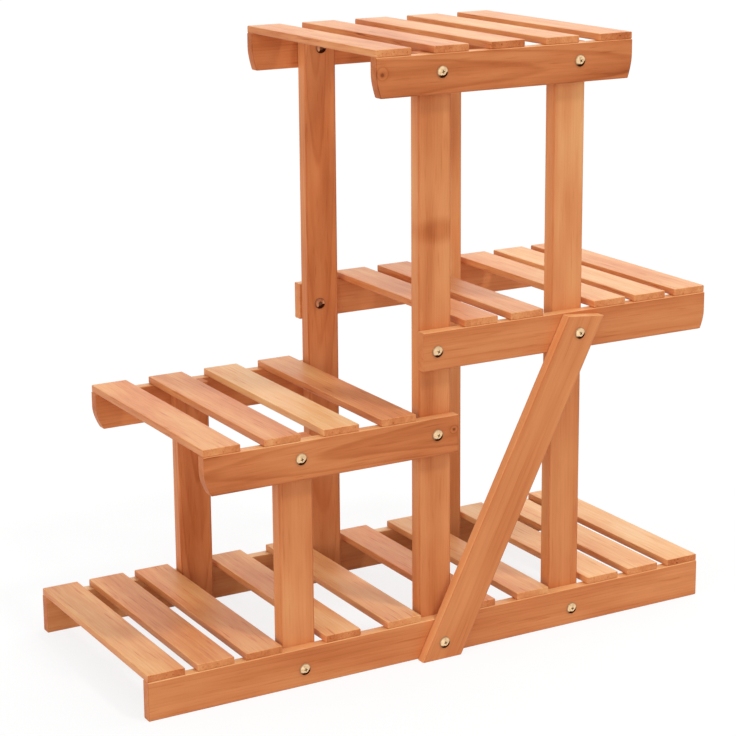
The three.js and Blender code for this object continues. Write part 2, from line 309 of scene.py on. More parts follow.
# How fine each noise is along and across the grain, per metre, how rich it is in detail, and
# how strong on each kind of board
STAIN = {
    "fibres": ((38, 1500, 3), {"rail": 0.10, "post": 0.10, "slat": 0.14, "brace": 0.10}),
    "flecks": ((34, 500, 2), {"rail": 0.08, "post": 0.08, "slat": 0.34, "brace": 0.06}),
    "streaks": ((4, 150, 2), {"rail": 0.28, "post": 0.18, "slat": 0.32, "brace": 0.20}),
    "bands": ((1.8, 48, 1), {"rail": 0.36, "post": 0.50, "slat": 0.36, "brace": 0.36}),
    "blotches": ((7, 24, 2), {"rail": 0.55, "post": 0.70, "slat": 0.75, "brace": 0.45}),
}
MARK_CONTRAST = {"rail": 0.14, "post": 0.12, "slat": 0.34, "brace": 0.10}
MARK_FINENESS = (22, 400)
MARK_LEVELS = (0.58, 0.78)  # the noise's levels at which a mark begins and is full
END_RINGS = 0.4  # how much of the rings shows on a sawn end
EDGE_HIGHLIGHT = 0.26  # how much paler the painted highlight makes a rounded edge, at most
# How fine the patches of painted edge light and shade are, along and across the grain
EDGE_PATCH_FINENESS = (16, 60)
KNOT_CORE = (0.3, 1.2)  # where the dark of a knot begins to fade and is gone, in radii


def ring_shade(tree, number):
    """0 in pale spring wood, up to 1 in dark autumn wood."""
    season = add_node(tree, "ShaderNodeValToRGB", {"Fac": compute(tree, "FRACT", number)})
    season.color_ramp.interpolation = "EASE"
    stops = season.color_ramp.elements
    stops[0].position = 0.0
    stops[0].color = (0.0, 0.0, 0.0, 1)
    stops[1].position = 1.0
    stops[1].color = (0.0, 0.0, 0.0, 1)
    for place, shade in SEASONS:
        stops.new(place).color = (shade, shade, shade, 1)
    year = add_node(
        tree, "ShaderNodeTexWhiteNoise", {"W": compute(tree, "FLOOR", number)}, noise_dimensions="1D"
    )
    year_value = year.outputs["Value"]
    strength = compute(tree, "MULTIPLY_ADD", year_value, 1 - WEAKEST_YEAR, WEAKEST_YEAR)
    return compute(tree, "MULTIPLY", season.outputs["Color"], strength)


def smooth_step(tree, value, start, stop, first=0.0, last=1.0):
    """Goes softly from a first to a last value, while another goes from start to stop."""
    step = add_node(
        tree,
        "ShaderNodeMapRange",
        {"Value": value, "From Min": start, "From Max": stop, "To Min": first, "To Max": last},
        interpolation_type="SMOOTHSTEP",
    )
    return step.outputs[0]


def colour_depth(tree, kind, grain, rings, knot_distance, knot_darkness):
    """How deep the stain is, with painted light and shade on rounded edges, from pale below 0 to
    dark at 1, and the fibres by themselves.
    """
    ring_contrast = compute(tree, "MULTIPLY", attribute(tree, "figure"), RING_CONTRAST[kind])
    ends = compute(tree, "MULTIPLY_ADD", attribute(tree, "end_grain"), END_RINGS - 1, 1)
    ring_contrast = compute(tree, "MULTIPLY", ring_contrast, ends)
    depth = compute(tree, "MULTIPLY_ADD", rings, ring_contrast, attribute(tree, "tone"))
    noises = {}
    for name, ((along, across, detail), contrasts) in STAIN.items():
        noises[name] = stretched_noise(tree, grain, along, across, detail)
        depth = compute(tree, "ADD", depth, centred(tree, noises[name], contrasts[kind]))
    marks = smooth_step(tree, stretched_noise(tree, grain, *MARK_FINENESS), *MARK_LEVELS)
    depth = compute(tree, "MULTIPLY_ADD", marks, MARK_CONTRAST[kind], depth)
    # Painted highlight on rounded edges that face up, and painted shade on the others, in patches.
    edge_patches = stretched_noise(tree, grain, *EDGE_PATCH_FINENESS)
    edge_light_and_shade = compute(tree, "MULTIPLY", attribute(tree, "eased"), edge_patches)
    depth = compute(tree, "MULTIPLY_ADD", edge_light_and_shade, -EDGE_HIGHLIGHT, depth)
    core = smooth_step(tree, knot_distance, *KNOT_CORE, first=1.0, last=0.0)
    depth = compute(tree, "MULTIPLY_ADD", core, knot_darkness, depth)
    return depth, noises["fibres"]


# %% [markdown]
# One ramp turns depth into colour, so that pale and dark wood always belong together: honey,
# orange tan, red brown and the near black of a knot. The varnish is thin and satin. It is duller
# on the fibres and on sawn ends, because open grain swallows varnish. The fibres also stand up
# by less than a tenth of a millimetre, which breaks the reflections.

# %% Mix the stained wood
PALEST = -0.3
WOOD_COLOURS = (
    (PALEST, (0.90, 0.60, 0.32)),
    (0.0, (0.84, 0.45, 0.188)),
    (0.3, (0.73, 0.288, 0.107)),
    (0.55, (0.60, 0.193, 0.064)),
    (0.8, (0.44, 0.112, 0.029)),
    (1.0, (0.16, 0.037, 0.011)),
)
WOOD_ROUGHNESS = 0.38
FIBRE_ROUGHNESS = 0.16  # how much duller the varnish is on a fibre than beside it
END_ROUGHNESS = 0.1
WOOD_MIRROR = 0.12
FIBRE_HEIGHT = 0.00012
RING_HEIGHT = 0.35  # of an autumn ring, in fibres
RELIEF = 0.4  # the share of these heights that shows


def stained_wood(kind):
    """The stained and varnished softwood of one kind of board."""
    material = bpy.data.materials.new("stained_" + kind)
    material.use_nodes = True
    tree = material.node_tree
    tree.nodes.clear()
    grain = attribute(tree, "grain", "Vector")
    knot_distance, knot_darkness = knot_of_board(tree)
    rings = ring_shade(tree, ring_number(tree, grain, knot_distance))
    depth, fibres = colour_depth(tree, kind, grain, rings, knot_distance, knot_darkness)
    from_palest = add_node(
        tree, "ShaderNodeMapRange", {"Value": depth, "From Min": PALEST, "From Max": 1}
    )
    colour = add_node(tree, "ShaderNodeValToRGB", {"Fac": from_palest.outputs[0]})
    stops = colour.color_ramp.elements
    stops[0].color = (*WOOD_COLOURS[0][1], 1)
    stops[1].color = (*WOOD_COLOURS[-1][1], 1)
    for depth_of_stop, shade in WOOD_COLOURS[1:-1]:
        stops.new((depth_of_stop - PALEST) / (1 - PALEST)).color = (*shade, 1)
    smoothest = WOOD_ROUGHNESS - FIBRE_ROUGHNESS / 2
    roughness = compute(tree, "MULTIPLY_ADD", fibres, FIBRE_ROUGHNESS, smoothest)
    end_grain = attribute(tree, "end_grain")
    roughness = compute(tree, "MULTIPLY_ADD", end_grain, END_ROUGHNESS, roughness)
    height = compute(tree, "MULTIPLY_ADD", rings, RING_HEIGHT, fibres)
    relief = add_node(
        tree, "ShaderNodeBump", {"Strength": RELIEF, "Distance": FIBRE_HEIGHT, "Height": height}
    )
    surface = add_node(
        tree,
        "ShaderNodeBsdfPrincipled",
        {
            "Base Color": colour.outputs["Color"],
            "Roughness": roughness,
            "Normal": relief.outputs[0],
            "Specular IOR Level": WOOD_MIRROR,
        },
    )
    add_node(tree, "ShaderNodeOutputMaterial", {"Surface": surface.outputs[0]})
    return material


woods = {kind: stained_wood(kind) for kind in ("rail", "post", "slat", "brace")}
print("woods:", sorted(woods))

# %% [markdown]
# ## Boards
#
# A board is made as in the workshop. It is sawn to size from a cube, its ends are cut, the bolt
# holes are drilled, and last of all its edges are eased. While it is on the bench it lies along
# X, its width along Y and its thickness along Z, so the same tools serve every board. Only the
# finished board is turned and moved into the stand.


# %% Saw and drill
HOLE_SIDES = 24
DRILL_LENGTH = 0.1
SAME_PLACE = 3e-6  # points closer than this are one


def join_doubles(shape):
    """Merges the points that a cut or a rounding left on top of each other."""
    bmesh.ops.remove_doubles(shape, verts=shape.verts, dist=SAME_PLACE)
    bmesh.ops.dissolve_degenerate(shape, dist=SAME_PLACE, edges=shape.edges)


def blank_board(length, width, thickness):
    """A plain board on the bench, centred on the origin."""
    board = bmesh.new()
    bmesh.ops.create_cube(board, size=1.0)
    bmesh.ops.scale(board, vec=(length, width, thickness), verts=board.verts)
    return board


def saw(board, point, outward):
    """Cuts through a point and takes off what lies outward of it."""
    whole = board.verts[:] + board.edges[:] + board.faces[:]
    cut = bmesh.ops.bisect_plane(
        board, geom=whole, plane_co=point, plane_no=outward, clear_outer=True
    )
    rim = [part for part in cut["geom_cut"] if isinstance(part, bmesh.types.BMEdge)]
    bmesh.ops.holes_fill(board, edges=rim)


def as_object(shape, name):
    """Turns a bmesh into an object in the scene."""
    mesh = bpy.data.meshes.new(name)
    shape.to_mesh(mesh)
    shape.free()
    made = bpy.data.objects.new(name, mesh)
    bpy.context.scene.collection.objects.link(made)
    return made


def carve(shape, tools):
    """Takes tool shapes away from a shape, one after the other, with the Boolean modifier."""
    body = as_object(shape, "workpiece")
    helpers = [as_object(tool, "tool") for tool in tools]
    for helper in helpers:
        cut = body.modifiers.new("cut", "BOOLEAN")
        cut.operation = "DIFFERENCE"
        cut.solver = "EXACT"
        cut.object = helper
    bpy.context.view_layer.update()
    seen = body.evaluated_get(bpy.context.evaluated_depsgraph_get())
    carved = bmesh.new()
    carved.from_mesh(seen.to_mesh())
    seen.to_mesh_clear()
    join_doubles(carved)
    for spent in (body, *helpers):
        mesh = spent.data
        bpy.data.objects.remove(spent)
        bpy.data.meshes.remove(mesh)
    return carved


def drill(board, holes):
    """Drills holes, given as their places on the board's face and their radii."""
    if not holes:
        return board
    bits = bmesh.new()
    for x, y, radius in holes:
        bmesh.ops.create_cone(
            bits,
            cap_ends=True,
            segments=HOLE_SIDES,
            radius1=radius,
            radius2=radius,
            depth=DRILL_LENGTH,
            matrix=Matrix.Translation((x, y, 0)),
        )
    return carve(board, [bits])


# %% Ease the edges
EASING_STEPS = 4
CORNER_ANGLE = math.radians(35)
RIM_REACH = 1.05  # how far from a hole's middle its rim may lie, in radii of the hole
ALONG = 0.99  # an edge runs along the board if this share of its length lies along X


def ease_edges(board, holes, long_radius, end_radius):
    """Rounds the long edges first and then those round the ends. Hole rims stay crisp."""

    def on_hole_rim(edge):
        middle = (edge.verts[0].co + edge.verts[1].co) / 2
        return any(
            math.hypot(middle.x - x, middle.y - y) < radius * RIM_REACH for x, y, radius in holes
        )

    def runs_along(edge):
        way = edge.verts[1].co - edge.verts[0].co
        return abs(way.x) > ALONG * way.length

    for radius, only_long in ((long_radius, True), (end_radius, False)):
        corners = [
            edge
            for edge in board.edges
            if edge.is_manifold
            and edge.calc_face_angle() > CORNER_ANGLE
            and not on_hole_rim(edge)
            and (runs_along(edge) or not only_long)
        ]
        bmesh.ops.bevel(
            board,
            geom=corners,
            offset=radius,
            offset_type="OFFSET",
            segments=EASING_STEPS,
            profile=0.5,
            affect="EDGES",
            material=-1,
            clamp_overlap=True,
        )


# %% [markdown]
# ### Giving each board its own piece of trunk
#
# A sawmill cuts boards from all over the trunk. Most boards here come from the side of it and
# show straight fine lines. A few in the photograph show tall arches: these were cut flat, with
# the heart right behind their face. So each board draws at random where the heart lay and how
# the trunk leaned, and the few that stand out get their values from a list, and their knots.
# Boards also took the stain differently, and some tones are painted light, which makes the boards
# in the shelves' shade paler. That is set for each board, and for its sawn ends.

# %% Choose where each board was cut
random.seed(11)
TRUNK_LENGTH = 40  # metres, so that no two boards share their grain
HEART_ASIDE = (0.035, 0.11)  # how far the heart lies from the middle of a board, across it
HEART_BEHIND = (0.012, 0.07)  # and behind it
LEAN_ACROSS = 0.012  # at most, metres in a metre
LEAN_BEHIND = 0.03
RING_WIDTHS = (0.0026, 0.0042)
TONE_SPREAD = 0.06
NO_KNOT = (9.0, 9.0, 0.003, 0.003, 0.0)  # far off the board, and not dark
# The heart's place across and behind the board, the lean, the ring width and the rings' strength
HEARTS_BY_HAND = {
    "rail_left_front": ((0.003, -0.0293), (0.016, 0.026), 0.0040, 2.2),
    "rail_top_front": ((-0.002, -0.0369), (-0.006, -0.030), 0.0044, 2.2),
    "post_1_back": ((0.003, -0.028), (0.010, 0.070), 0.0048, 3.6),
    "post_2_back": ((-0.004, -0.034), (-0.006, 0.045), 0.0046, 2.4),
}
# A knot's place along and across the board, its radii along and across, and its darkness
KNOTS_BY_HAND = {
    "rail_left_front": (0.138, 0.005, 0.0023, 0.0019, 0.28),
    "rail_top_front": (-0.145, 0.003, 0.0030, 0.0028, 0.23),
    "post_2_front": (0.134, 0.004, 0.0150, 0.0300, 0.26),
}
# How much darker than usual a board is, and its sawn ends: partly the stain it took, and partly
# painted light, which makes boards in the shelves' shade paler
STAIN_AND_LIGHT_BY_BOARD = {
    "rail_base_back": (-0.26, 0.00),
    "rail_left_front": (0.05, -0.06),
    "rail_left_back": (-0.05, 0.08),
    "rail_right_front": (-0.01, -0.12),
    "rail_right_back": (-0.05, -0.17),
    "rail_top_front": (0.11, 0.12),
    "rail_top_back": (0.08, 0.13),
    "post_1_front": (-0.02, 0.00),
    "post_1_back": (0.01, 0.00),
    "post_2_front": (0.07, 0.00),
    "post_2_back": (0.02, 0.00),
    "post_3_front": (-0.16, 0.00),
    "post_3_back": (-0.20, 0.00),
    "brace": (0.06, 0.00),
    "slat_base_1": (-0.03, 0.10),
    "slat_base_2": (0.03, -0.10),
    "slat_base_3": (0.10, 0.15),
    "slat_base_4": (-0.07, 0.18),
    "slat_base_5": (-0.14, -0.27),
    "slat_base_6": (0.02, 0.00),
    "slat_base_7": (-0.13, -0.27),
    "slat_base_8": (-0.20, -0.13),
    "slat_base_9": (-0.10, 0.00),
    "slat_base_10": (-0.21, 0.20),
    "slat_left_1": (0.04, 0.00),
    "slat_left_2": (0.05, -0.16),
    "slat_left_3": (-0.28, 0.00),
    "slat_left_4": (0.05, -0.05),
    "slat_right_1": (0.08, -0.11),
    "slat_right_2": (0.08, -0.03),
    "slat_right_3": (-0.09, -0.05),
    "slat_right_4": (-0.21, -0.10),
    "slat_right_5": (0.07, 0.00),
    "slat_top_1": (-0.04, -0.21),
    "slat_top_2": (0.17, 0.03),
    "slat_top_3": (-0.04, 0.23),
    "slat_top_4": (-0.05, -0.09),
    "slat_top_5": (0.00, 0.15),
}
# The slats' paler tone is painted light on their broad faces, which look paler lit from above.
MEAN_TONE = {"rail": 0.44, "post": 0.39, "slat": 0.18, "brace": 0.42}
EDGE_LIGHT_AND_SHADE = {"rail": -0.44, "post": 0.0, "slat": 0.17, "brace": -0.20}  # added on narrow edges: paler top and bottom faces on the rails, a painted highlight, darker long sides on the slats, painted shade, and paler sides on the brace
END_TONE = {"rail": 0.55, "post": 0.45, "slat": 0.44, "brace": 0.04}  # instead, on sawn ends; the brace's much paler ends are a painted highlight on its upper end


def choose_cut(name, kind):
    """Draws a board's cut: heart place, lean of the trunk, ring width, tones and knot."""
    side = random.choice((-1, 1))
    cut = {
        "start": random.uniform(0, TRUNK_LENGTH),
        "heart": (side * random.uniform(*HEART_ASIDE), -random.uniform(*HEART_BEHIND)),
        "lean": (
            random.uniform(-LEAN_ACROSS, LEAN_ACROSS),
            random.uniform(-LEAN_BEHIND, LEAN_BEHIND),
        ),
        "ring_width": random.uniform(*RING_WIDTHS),
        "tone": MEAN_TONE[kind] + random.uniform(-TONE_SPREAD, TONE_SPREAD),
        "edge_light_and_shade": EDGE_LIGHT_AND_SHADE[kind],
        "end_tone": END_TONE[kind],
        "figure": 1.0,
        "knot": KNOTS_BY_HAND.get(name, NO_KNOT),
    }
    if name in HEARTS_BY_HAND:
        cut["heart"], cut["lean"], cut["ring_width"], cut["figure"] = HEARTS_BY_HAND[name]
    tone_offset, end_tone_offset = STAIN_AND_LIGHT_BY_BOARD.get(name, (0.0, 0.0))
    cut["tone"] += tone_offset
    cut["end_tone"] += end_tone_offset
    return cut


# %% Finish a board and put it in the stand
EDGE_SHADE_RATIO = 1.6  # how dark the painted shade makes a rounded edge, against how pale the painted highlight makes one
FACING_UP = 0.4  # how far up a rounded edge has to face to get the painted highlight
ROUNDED = 0.1  # faces rounder or more slanted than these are shaded smooth
SLANTED = 0.02


def write_grain(mesh, cut, place):
    """Writes the board's attributes while it still lies on the bench."""
    heart_y, heart_z = cut["heart"]
    lean_y, lean_z = cut["lean"]
    knot_x, knot_y, knot_length, knot_width, knot_darkness = cut["knot"]
    grain = mesh.attributes.new("grain", "FLOAT_VECTOR", "POINT")
    knot = mesh.attributes.new("knot", "FLOAT_VECTOR", "POINT")
    for vertex, at_grain, at_knot in zip(mesh.vertices, grain.data, knot.data):
        x, y, z = vertex.co
        at_grain.vector = (x + cut["start"], y - heart_y - lean_y * x, z - heart_z - lean_z * x)
        at_knot.vector = ((x - knot_x) / knot_length, (y - knot_y) / knot_width, knot_darkness)
    for name in ("ring_width", "figure"):
        values = mesh.attributes.new(name, "FLOAT", "POINT")
        values.data.foreach_set("value", [cut[name]] * len(mesh.vertices))
    tone = mesh.attributes.new("tone", "FLOAT", "FACE")
    eased = mesh.attributes.new("eased", "FLOAT", "FACE")
    end_grain = mesh.attributes.new("end_grain", "FLOAT", "FACE")
    turn = place.to_3x3()
    for face in mesh.polygons:
        out = face.normal
        roundness = 2 * abs(out.z) * math.sqrt(max(0.0, 1 - out.z * out.z))
        on_end = out.x * out.x
        # Narrow edges carry painted light and shade in their tone.
        on_side = cut["tone"] + cut["edge_light_and_shade"] * out.y * out.y
        # Rounded edges facing up get a painted highlight, the others painted shade.
        lit_or_shaded = 1 if (turn @ out).z > FACING_UP else -EDGE_SHADE_RATIO
        tone.data[face.index].value = on_side + (cut["end_tone"] - on_side) * on_end
        eased.data[face.index].value = roundness * lit_or_shaded
        end_grain.data[face.index].value = on_end
        face.use_smooth = roundness > ROUNDED or SLANTED < abs(out.x) < 1 - SLANTED


def finish_board(board, node, kind, place):
    """Makes the finished board a piece of the stand, in place of its CAD node."""
    join_doubles(board)
    bmesh.ops.recalc_face_normals(board, faces=board.faces)
    mesh = bpy.data.meshes.new(node + "_board")
    board.to_mesh(mesh)
    board.free()
    write_grain(mesh, choose_cut(node, kind), place)
    mesh.transform(place)
    mesh.materials.append(woods[kind])
    piece = bpy.data.objects.new(node + "_board", mesh)
    bpy.context.scene.collection.objects.link(piece)
    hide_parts(node)
    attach(piece, "root")


# %% [markdown]
# ### Where the bolts go
#
# The CAD bolts already stand in their holes, so the boards are drilled where the bolts are.
# A rail and the brace only let the screw through. A post also takes the sleeve of the nut.

# %% Find the bolts
SCREW_HOLE = 0.0033  # radii
SLEEVE_HOLE = 0.0046

bolts = {}
for node in sorted(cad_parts):
    if node.startswith("bolt_"):
        low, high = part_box(node)
        bolts[node] = (low + high) / 2
print("bolts:", len(bolts))


def holes_in(node, radius, to_bench):
    """The holes of a board: every bolt whose axis passes through its box, on the bench's axes."""
    low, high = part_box(node)
    found = []
    for middle in bolts.values():
        inside = low.x < middle.x < high.x and low.z < middle.z < high.z
        same_side = (low.y + high.y) * middle.y > 0
        if inside and same_side:
            x, y, _ = to_bench @ middle
            found.append((x, y, radius))
    return found


# %% [markdown]
# ### Rails
#
# Rails are bolted on edge. The free ends of the upper rails are cut away below in a soft curve.
# A saw can follow a curve in short straight passes, and so does this one: each pass takes off
# what lies outside one chord of the curve.

# %% Make the rails
RAIL_EASING = 0.0012
RAIL_END_EASING = 0.0009
CURVE_PASSES = 6
CURVE_FULLNESS = 0.6
# How far each rounded cut runs along the rail and up its end
END_CUTS = {
    "left": {-1: (0.008, 0.024)},
    "right": {1: (0.005, 0.020)},
    "top": {-1: (0.005, 0.025), 1: (0.005, 0.025)},
}


def bench_matrix(node, along, across):
    """Takes a point from the bench to the stand: the bench's X goes along, and its Y across."""
    low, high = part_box(node)
    along = Vector(along)
    across = Vector(across)
    turned = Matrix((along, across, along.cross(across))).transposed().to_4x4()
    return Matrix.Translation((low + high) / 2) @ turned


def point_on_end_cut(end, length, height, run, rise, share):
    """A point on the rounded cut, from the rail's lower edge at 0 up to its end at 1."""
    from_end = run * (1 - share) ** 2
    up = 2 * share * (1 - share) * CURVE_FULLNESS * rise + share**2 * rise
    return Vector((end * (length / 2 - from_end), up - height / 2, 0))


def round_end(board, end, length, height, run, rise):
    """Cuts the lower corner of one end away, pass by pass."""
    shares = [step / CURVE_PASSES for step in range(CURVE_PASSES + 1)]
    for start, stop in zip(shares, shares[1:]):
        near = point_on_end_cut(end, length, height, run, rise, start)
        far = point_on_end_cut(end, length, height, run, rise, stop)
        way = far - near
        saw(board, near, Vector((way.y * end, -way.x * end, 0)))


for shelf in ("base", "left", "right", "top"):
    for side in ("front", "back"):
        node = f"rail_{shelf}_{side}"
        low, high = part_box(node)
        length, thickness, height = high - low
        place = bench_matrix(node, (1, 0, 0), (0, 0, 1))
        rail = blank_board(length, height, thickness)
        for end, (run, rise) in END_CUTS.get(shelf, {}).items():
            round_end(rail, end, length, height, run, rise)
        holes = holes_in(node, SCREW_HOLE, place.inverted())
        rail = drill(rail, holes)
        ease_edges(rail, holes, RAIL_EASING, RAIL_END_EASING)
        finish_board(rail, node, "rail", place)
        print(node, "length", round(length, 4), "holes", len(holes))

# %% [markdown]
# ### Posts
#
# The posts are the thickest boards, and theirs are the roundest edges. They stand on the floor
# and end under the slats of the highest shelf they carry.

# %% Make the posts
POST_EASING = 0.0020
POST_END_EASING = 0.0010

for number in (1, 2, 3):
    for side in ("front", "back"):
        node = f"post_{number}_{side}"
        low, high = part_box(node)
        width, thickness, length = high - low
        place = bench_matrix(node, (0, 0, 1), (1, 0, 0))
        holes = holes_in(node, SLEEVE_HOLE, place.inverted())
        post = drill(blank_board(length, width, thickness), holes)
        ease_edges(post, holes, POST_EASING, POST_END_EASING)
        finish_board(post, node, "post", place)
        print(node, "length", round(length, 4), "holes", len(holes))

# %% [markdown]
# ### Slats
#
# Slats are thin, so their edges are rounded by hardly more than a millimetre. They lie across
# the rails from front to back.

# %% Make the slats
SLAT_EASING = 0.0011
SLAT_END_EASING = 0.0008

slat_nodes = [node for node in sorted(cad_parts) if node.startswith("slat_")]
for node in slat_nodes:
    low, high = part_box(node)
    width, length, thickness = high - low
    slat = blank_board(length, width, thickness)
    ease_edges(slat, [], SLAT_EASING, SLAT_END_EASING)
    finish_board(slat, node, "slat", bench_matrix(node, (0, 1, 0), (-1, 0, 0)))
print("slats:", len(slat_nodes))

# %% [markdown]
# ### Brace
#
# The brace is a straight board that leans. It is sawn level where it stands on the floor, and
# almost level just under the slats of the right shelf. On the bench that means two slanting
# cuts across a board that is a little too long.

# %% Make the brace
BRACE_WIDTH = 0.0415
BRACE_OFFSET_AT_FOOT = 0.007  # its centre line, to the right of the lower bolt
BRACE_TOP_FALL = 0.092  # slope of the cut across its upper end
BRACE_SPARE_LENGTH = 0.1
BRACE_EASING = 0.0016
BRACE_END_EASING = 0.0009

lower_point = bolts["bolt_base_2_front"] + Vector((BRACE_OFFSET_AT_FOOT, 0, 0))
upper_point = bolts["bolt_right_2_front"]
low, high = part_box("brace")
way = Vector((upper_point.x - lower_point.x, 0, upper_point.z - lower_point.z)).normalized()
square = Vector((way.z, 0, -way.x))
middle_height = (low.z + high.z) / 2
share = (middle_height - lower_point.z) / way.z
middle = Vector((lower_point.x, (low.y + high.y) / 2, lower_point.z)) + way * share
turned = Matrix((way, -square, way.cross(-square))).transposed().to_4x4()
place = Matrix.Translation(middle) @ turned
to_bench = place.inverted()

brace_length = (high.z - low.z) / way.z + BRACE_SPARE_LENGTH
brace = blank_board(brace_length, BRACE_WIDTH, high.y - low.y)
down = to_bench.to_3x3() @ Vector((0, 0, -1))
up = to_bench.to_3x3() @ Vector((BRACE_TOP_FALL, 0, 1)).normalized()
level_half_width = BRACE_WIDTH / 2 / way.z
top_left_x = lower_point.x + way.x / way.z * (high.z - lower_point.z) - level_half_width
saw(brace, to_bench @ Vector((lower_point.x, middle.y, low.z)), down)
saw(brace, to_bench @ Vector((top_left_x, middle.y, high.z)), up)
brace_holes = holes_in("brace", SCREW_HOLE, to_bench)
brace_holes = [hole for hole in brace_holes if abs(hole[1]) < BRACE_WIDTH / 2]
brace = drill(brace, brace_holes)
ease_edges(brace, brace_holes, BRACE_EASING, BRACE_END_EASING)
finish_board(brace, "brace", "brace", place)
print("brace holes:", len(brace_holes), "lean:", round(math.degrees(math.atan2(way.x, way.z)), 2))

# %% [markdown]
# ## Bolts
#
# A furniture bolt has two halves: a screw with a shallow domed head, and a sleeve nut whose
# flange closes the hole on the other side. Both are turned parts, so both are spun from half a
# profile. The cross recess is cut into the head with two tapered chisels.

# %% Turn the metal parts
SPIN_STEPS = 36
HEAD_RADIUS = 0.006
HEAD_HEIGHT = 0.003
CROWN_RADIUS = 0.0049
CROWN_HEIGHT = 0.0013  # of the low dome inside the rounded shoulder
SHOULDER_DROP = 0.0007
UNDERCUT = 0.0005
SHANK_RADIUS = 0.003
CROWN_POINTS = 6
SHOULDER_POINTS = 4
NUT_FLANGE_RADIUS = 0.006
NUT_FLANGE_HEIGHT = 0.002
NUT_SLEEVE_RADIUS = 0.0043
NUT_BORE_RADIUS = 0.00305
POST_THICKNESS = 0.016


def turn_part(profile):
    """Spins a half profile of radii and heights round the Z axis into a closed solid."""
    part = bmesh.new()
    points = [part.verts.new((radius, 0, height)) for radius, height in profile]
    edges = [part.edges.new(pair) for pair in zip(points, points[1:])]
    bmesh.ops.spin(
        part,
        geom=points + edges,
        cent=(0, 0, 0),
        axis=(0, 0, 1),
        angle=2 * math.pi,
        steps=SPIN_STEPS,
        use_merge=True,
    )
    join_doubles(part)
    bmesh.ops.recalc_face_normals(part, faces=part.faces)
    return part


def head_profile():
    """A low crown, a rounded shoulder, an upright rim and an undercut, from the middle out."""
    points = []
    for step in range(CROWN_POINTS + 1):
        share = step / CROWN_POINTS
        points.append((CROWN_RADIUS * share, HEAD_HEIGHT - CROWN_HEIGHT * share * share))
    for step in range(1, SHOULDER_POINTS + 1):
        angle = math.pi / 2 * step / SHOULDER_POINTS
        radius = CROWN_RADIUS + (HEAD_RADIUS - CROWN_RADIUS) * math.sin(angle)
        points.append((radius, HEAD_HEIGHT - CROWN_HEIGHT - SHOULDER_DROP * (1 - math.cos(angle))))
    points.append((HEAD_RADIUS, UNDERCUT))
    points.append((HEAD_RADIUS - UNDERCUT, 0.0))
    return points


# %% Make one screw and one nut
CROSS_LENGTH = 0.0050
CROSS_WIDTH = 0.0013
CROSS_DEPTH = 0.0021
CHISEL_TIP = 0.35  # radius of its lower end, when its upper end is 1 across
SCREW_SHORTER = 0.003  # than the boards it holds together
SCREW_TIP = 0.0006
SOCKET_RADIUS = 0.0026
SOCKET_DEPTH = 0.0012
# Points of the flange's rounded edge: how far in from its rim, and up from its face
FLANGE_EDGE = ((0.0008, 0.0), (0.0002, 0.0003), (0.0, 0.0009))
SLEEVE_SHORTER = 0.0003  # than the post is thick
BORE_BOTTOM = 0.0025  # above the flange


def chisel(turned_by):
    """A tapered slot cutter for one bar of the cross."""
    bar = bmesh.new()
    bmesh.ops.create_cone(
        bar,
        cap_ends=True,
        segments=4,
        radius1=CHISEL_TIP,
        radius2=math.sqrt(0.5),
        depth=1,
        matrix=Matrix.Rotation(math.pi / 4, 4, "Z"),
    )
    bmesh.ops.scale(bar, vec=(CROSS_LENGTH, CROSS_WIDTH, CROSS_DEPTH * 2), verts=bar.verts)
    turn = Matrix.Rotation(turned_by, 3, "Z")
    bmesh.ops.rotate(bar, cent=(0, 0, 0), matrix=turn, verts=bar.verts)
    bmesh.ops.translate(bar, vec=(0, 0, HEAD_HEIGHT), verts=bar.verts)
    return bar


def make_screw(grip):
    """A screw whose head's underside is at the origin, and whose shank goes down."""
    depth = grip + POST_THICKNESS - SCREW_SHORTER
    shank = [
        (SHANK_RADIUS, 0.0),
        (SHANK_RADIUS, -depth + SCREW_TIP),
        (SHANK_RADIUS - SCREW_TIP, -depth),
        (0.0, -depth),
    ]
    return carve(turn_part(head_profile() + shank), [chisel(0), chisel(math.pi / 2)])


def make_nut(grip):
    """A sleeve nut whose flange lies under the boards that the screw's head lies on."""
    seat = -grip - POST_THICKNESS
    face = seat - NUT_FLANGE_HEIGHT
    profile = [(0.0, face)]
    for inward, up in FLANGE_EDGE:
        profile.append((NUT_FLANGE_RADIUS - inward, face + up))
    profile += [
        (NUT_FLANGE_RADIUS, seat),
        (NUT_SLEEVE_RADIUS, seat),
        (NUT_SLEEVE_RADIUS, -grip - SLEEVE_SHORTER),
        (NUT_BORE_RADIUS, -grip - SLEEVE_SHORTER),
        (NUT_BORE_RADIUS, seat + BORE_BOTTOM),
        (0.0, seat + BORE_BOTTOM),
    ]
    socket = bmesh.new()
    bmesh.ops.create_cone(
        socket,
        cap_ends=True,
        segments=6,
        radius1=SOCKET_RADIUS,
        radius2=SOCKET_RADIUS,
        depth=SOCKET_DEPTH * 2,
        matrix=Matrix.Translation((0, 0, face)),
    )
    return carve(turn_part(profile), [socket])


# %% [markdown]
# ### The plating
#
# The bolts are steel with a thin pale brass plating. It isn't polished: tumbling left it satin,
# and handling left faint smudges. So it is a metal whose roughness wanders. An attribute marks
# painted shade, a near black that mirrors nothing: in the recess and round the rim, and most of
# all low on the rim and a little to the right, where it is a painted shadow under the head.
# Another attribute, called stained, tints the nuts copper brown.

# %% Plate the metal
BRASS_COLOURS = ((0.35, (0.76, 0.50, 0.28)), (0.65, (1.0, 0.71, 0.41)))
# The near black of the painted shade
PAINTED_SHADE_COLOUR = (0.040, 0.009, 0.002, 1)
